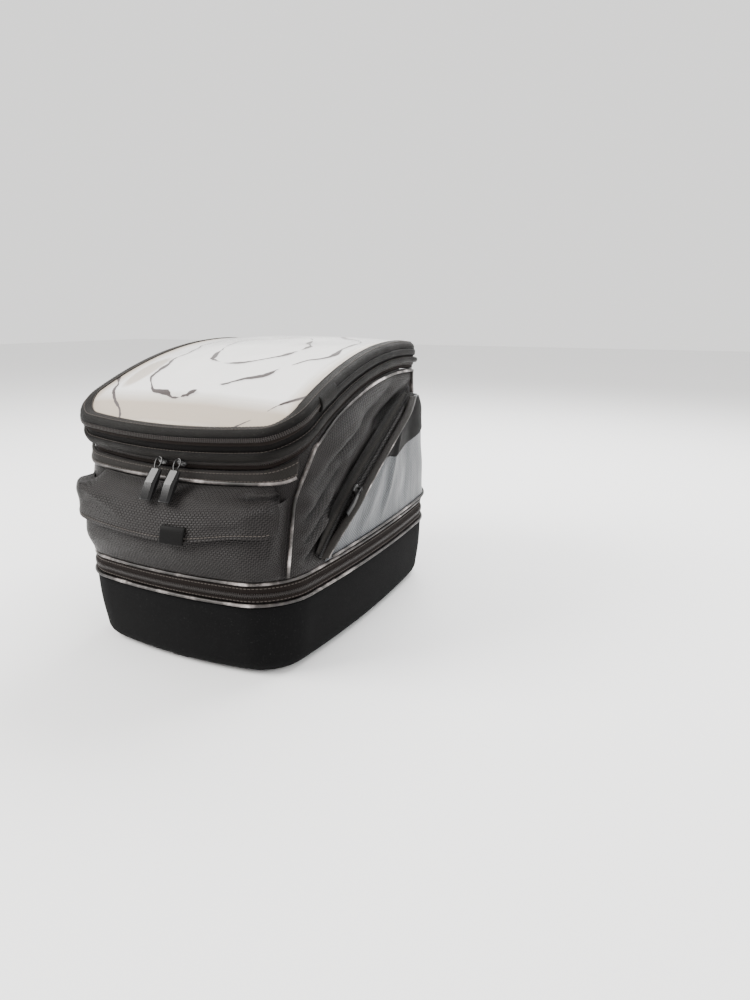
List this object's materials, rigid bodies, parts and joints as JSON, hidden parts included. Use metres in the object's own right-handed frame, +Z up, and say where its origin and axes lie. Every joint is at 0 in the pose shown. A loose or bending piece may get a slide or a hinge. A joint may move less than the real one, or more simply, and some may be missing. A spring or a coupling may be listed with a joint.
{
  "type": "motorcycle tank bag",
  "caption": "Motorcycle tank bag: moulded base with quick release, expansion zip, sewn upper bag with front and side pockets, arched zipped lid with map window.",
  "frame": {"origin": "middle of the underside, at the height the bag stands on", "axes": "+Z up, -Y towards the rider (front pocket), +Y towards the bike's front, +X to the bike's right"},
  "size_m": [0.2418, 0.3473, 0.2544],
  "materials": {
    "eva": "moulded EVA foam with a faint felt face",
    "foam_board": "matte board",
    "hard_plastic": "fine moulded grain",
    "steel": "satin",
    "webbing": "ribbed webbing",
    "reflective_piping": "satin reflective",
    "zip_tape": "woven tape with nylon teeth",
    "gusset_fabric": "coated nylon",
    "nylon": "coarse ballistic weave",
    "binding": "fine woven binding",
    "smooth_black": "smooth matte",
    "side_fabric": "silver-grey coated mesh print",
    "window": "clear flexible film",
    "slider_metal": "black lacquer",
    "pull_tab": "glossy"
  },
  "bodies": {
    "base": {"base_tub": "eva", "base_plate": "foam_board", "lock_housing": "hard_plastic", "lock_screw_1": "steel", "lock_screw_2": "steel", "lock_screw_3": "steel", "lock_screw_4": "steel", "lower_piping": "reflective_piping", "expansion_zip_lower": "zip_tape", "expansion_gusset": "gusset_fabric"},
    "lock_latch": {"lock_latch": "hard_plastic", "lock_spring": "steel", "release_strap": "webbing"},
    "expansion_slider": {"expansion_slider": "slider_metal"},
    "expansion_pull": {"expansion_pull": "pull_tab"},
    "upper_bag": {"expansion_zip_upper": "zip_tape", "upper_piping": "reflective_piping", "side_shell": "nylon", "lid_zip_lower": "zip_tape", "header_band": "binding", "header_piping": "reflective_piping", "corner_piping_right": "reflective_piping", "corner_piping_left": "reflective_piping", "front_pocket": "nylon", "flap_top": "nylon", "velcro_hook": "webbing", "side_zip_right": "zip_tape", "side_zip_left": "zip_tape", "handle_anchor_left": "hard_plastic", "handle_anchor_right": "hard_plastic"},
    "pocket_flap": {"pocket_flap": "nylon", "flap_tab": "smooth_black", "velcro_loop": "webbing"},
    "side_pocket_right": {"side_panel_right": "side_fabric", "side_piping_right": "reflective_piping", "side_patch_right": "smooth_black"},
    "side_pocket_left": {"side_panel_left": "side_fabric", "side_piping_left": "reflective_piping", "side_patch_left": "smooth_black"},
    "side_slider_right": {"side_right_slider": "slider_metal"},
    "side_pull_right": {"side_right_pull": "pull_tab"},
    "side_slider_left": {"side_left_slider": "slider_metal"},
    "side_pull_left": {"side_left_pull": "pull_tab"},
    "main_slider_left": {"main_left_slider": "slider_metal"},
    "main_pull_left": {"main_left_pull": "pull_tab"},
    "main_slider_right": {"main_right_slider": "slider_metal"},
    "main_pull_right": {"main_right_pull": "pull_tab"},
    "carry_handle": {"carry_handle": "webbing"},
    "lid": {"lid_zip_upper": "zip_tape", "lid_rim": "nylon", "lid_deck": "foam_board", "rain_flap": "nylon", "map_chain_lower": "zip_tape", "map_border_far": "binding", "map_window": "window"},
    "map_flap": {"map_chain_upper": "zip_tape", "map_border_near": "binding", "map_window_flap": "window"},
    "map_slider": {"map_slider": "slider_metal"},
    "map_pull": {"map_pull": "pull_tab"}
  },
  "joints": [
    {"name": "expansion_lift", "type": "slide", "parent": "base", "child": "upper_bag", "axis": [0, 0, 1], "range_m": [0, 0.045], "deforming": ["expansion_gusset"]},
    {"name": "latch_slide", "type": "slide", "parent": "base", "child": "lock_latch", "axis": [0, -1, 0], "range_m": [0, 0.0045], "stiffness_N_per_m": 300, "springref_m": -0.004},
    {"name": "expansion_slider_slide", "type": "slide", "parent": "base", "child": "expansion_slider", "axis": [-1, 0, 0], "range_m": [0, 0.05]},
    {"name": "expansion_pull_swing", "type": "hinge", "parent": "expansion_slider", "child": "expansion_pull", "pos_m": [0.024, 0.17283, 0.07634], "axis": [1, 0, 0], "range_deg": [0, 80]},
    {"name": "lid_hinge", "type": "hinge", "parent": "upper_bag", "child": "lid", "pos_m": [0, 0.1351, 0.2272], "axis": [-1, 0, 0], "range_deg": [0, 95]},
    {"name": "map_flap_hinge", "type": "hinge", "parent": "lid", "child": "map_flap", "pos_m": [0, -0.08804, 0.22489], "axis": [-1, 0, 0], "range_deg": [0, 40]},
    {"name": "map_slider_slide", "type": "slide", "parent": "lid", "child": "map_slider", "axis": [-0.0021, -0.92, -0.3918], "range_m": [0, 0.018]},
    {"name": "map_pull_swing", "type": "hinge", "parent": "map_slider", "child": "map_pull", "pos_m": [-0.11741, -0.09535, 0.2128], "axis": [0, 1, 0], "range_deg": [0, 80]},
    {"name": "pocket_flap_hinge", "type": "hinge", "parent": "upper_bag", "child": "pocket_flap", "pos_m": [0, -0.16779, 0.13213], "axis": [-1, 0, 0], "range_deg": [0, 75]},
    {"name": "side_pocket_right_hinge", "type": "hinge", "parent": "upper_bag", "child": "side_pocket_right", "pos_m": [0.11778, 0.03205, 0.0851], "axis": [0, 1, 0], "range_deg": [0, 12]},
    {"name": "side_pocket_left_hinge", "type": "hinge", "parent": "upper_bag", "child": "side_pocket_left", "pos_m": [-0.11778, 0.03205, 0.0851], "axis": [0, -1, 0], "range_deg": [0, 12]},
    {"name": "handle_swing", "type": "hinge", "parent": "upper_bag", "child": "carry_handle", "pos_m": [0, 0.14583, 0.19676], "axis": [1, 0, 0], "range_deg": [0, 100]},
    {"name": "side_slider_right_slide", "type": "slide", "parent": "upper_bag", "child": "side_slider_right", "axis": [0.0021, -0.8507, -0.5257], "range_m": [-0.02, 0.02]},
    {"name": "side_pull_right_swing", "type": "hinge", "parent": "side_slider_right", "child": "side_pull_right", "pos_m": [0.11902, -0.04658, 0.1353], "axis": [-0.0657, -0.5247, 0.8488], "range_deg": [0, 120]},
    {"name": "side_slider_left_slide", "type": "slide", "parent": "upper_bag", "child": "side_slider_left", "axis": [-0.0021, -0.8507, -0.5257], "range_m": [-0.02, 0.02]},
    {"name": "side_pull_left_swing", "type": "hinge", "parent": "side_slider_left", "child": "side_pull_left", "pos_m": [-0.11902, -0.04658, 0.1353], "axis": [-0.0657, 0.5247, -0.8488], "range_deg": [0, 120]},
    {"name": "main_slider_left_slide", "type": "slide", "parent": "upper_bag", "child": "main_slider_left", "axis": [-0.9986, 0.0449, 0.0276], "range_m": [0, 0.03]},
    {"name": "main_pull_left_swing", "type": "hinge", "parent": "main_slider_left", "child": "main_pull_left", "pos_m": [-0.0045, -0.14964, 0.16886], "axis": [-1, 0, 0], "range_deg": [0, 60]},
    {"name": "main_slider_right_slide", "type": "slide", "parent": "upper_bag", "child": "main_slider_right", "axis": [0.9979, 0.0549, 0.0338], "range_m": [0, 0.03]},
    {"name": "main_pull_right_swing", "type": "hinge", "parent": "main_slider_right", "child": "main_pull_right", "pos_m": [0.014, -0.14949, 0.16895], "axis": [-1, 0, 0], "range_deg": [0, 60]}
  ]
}
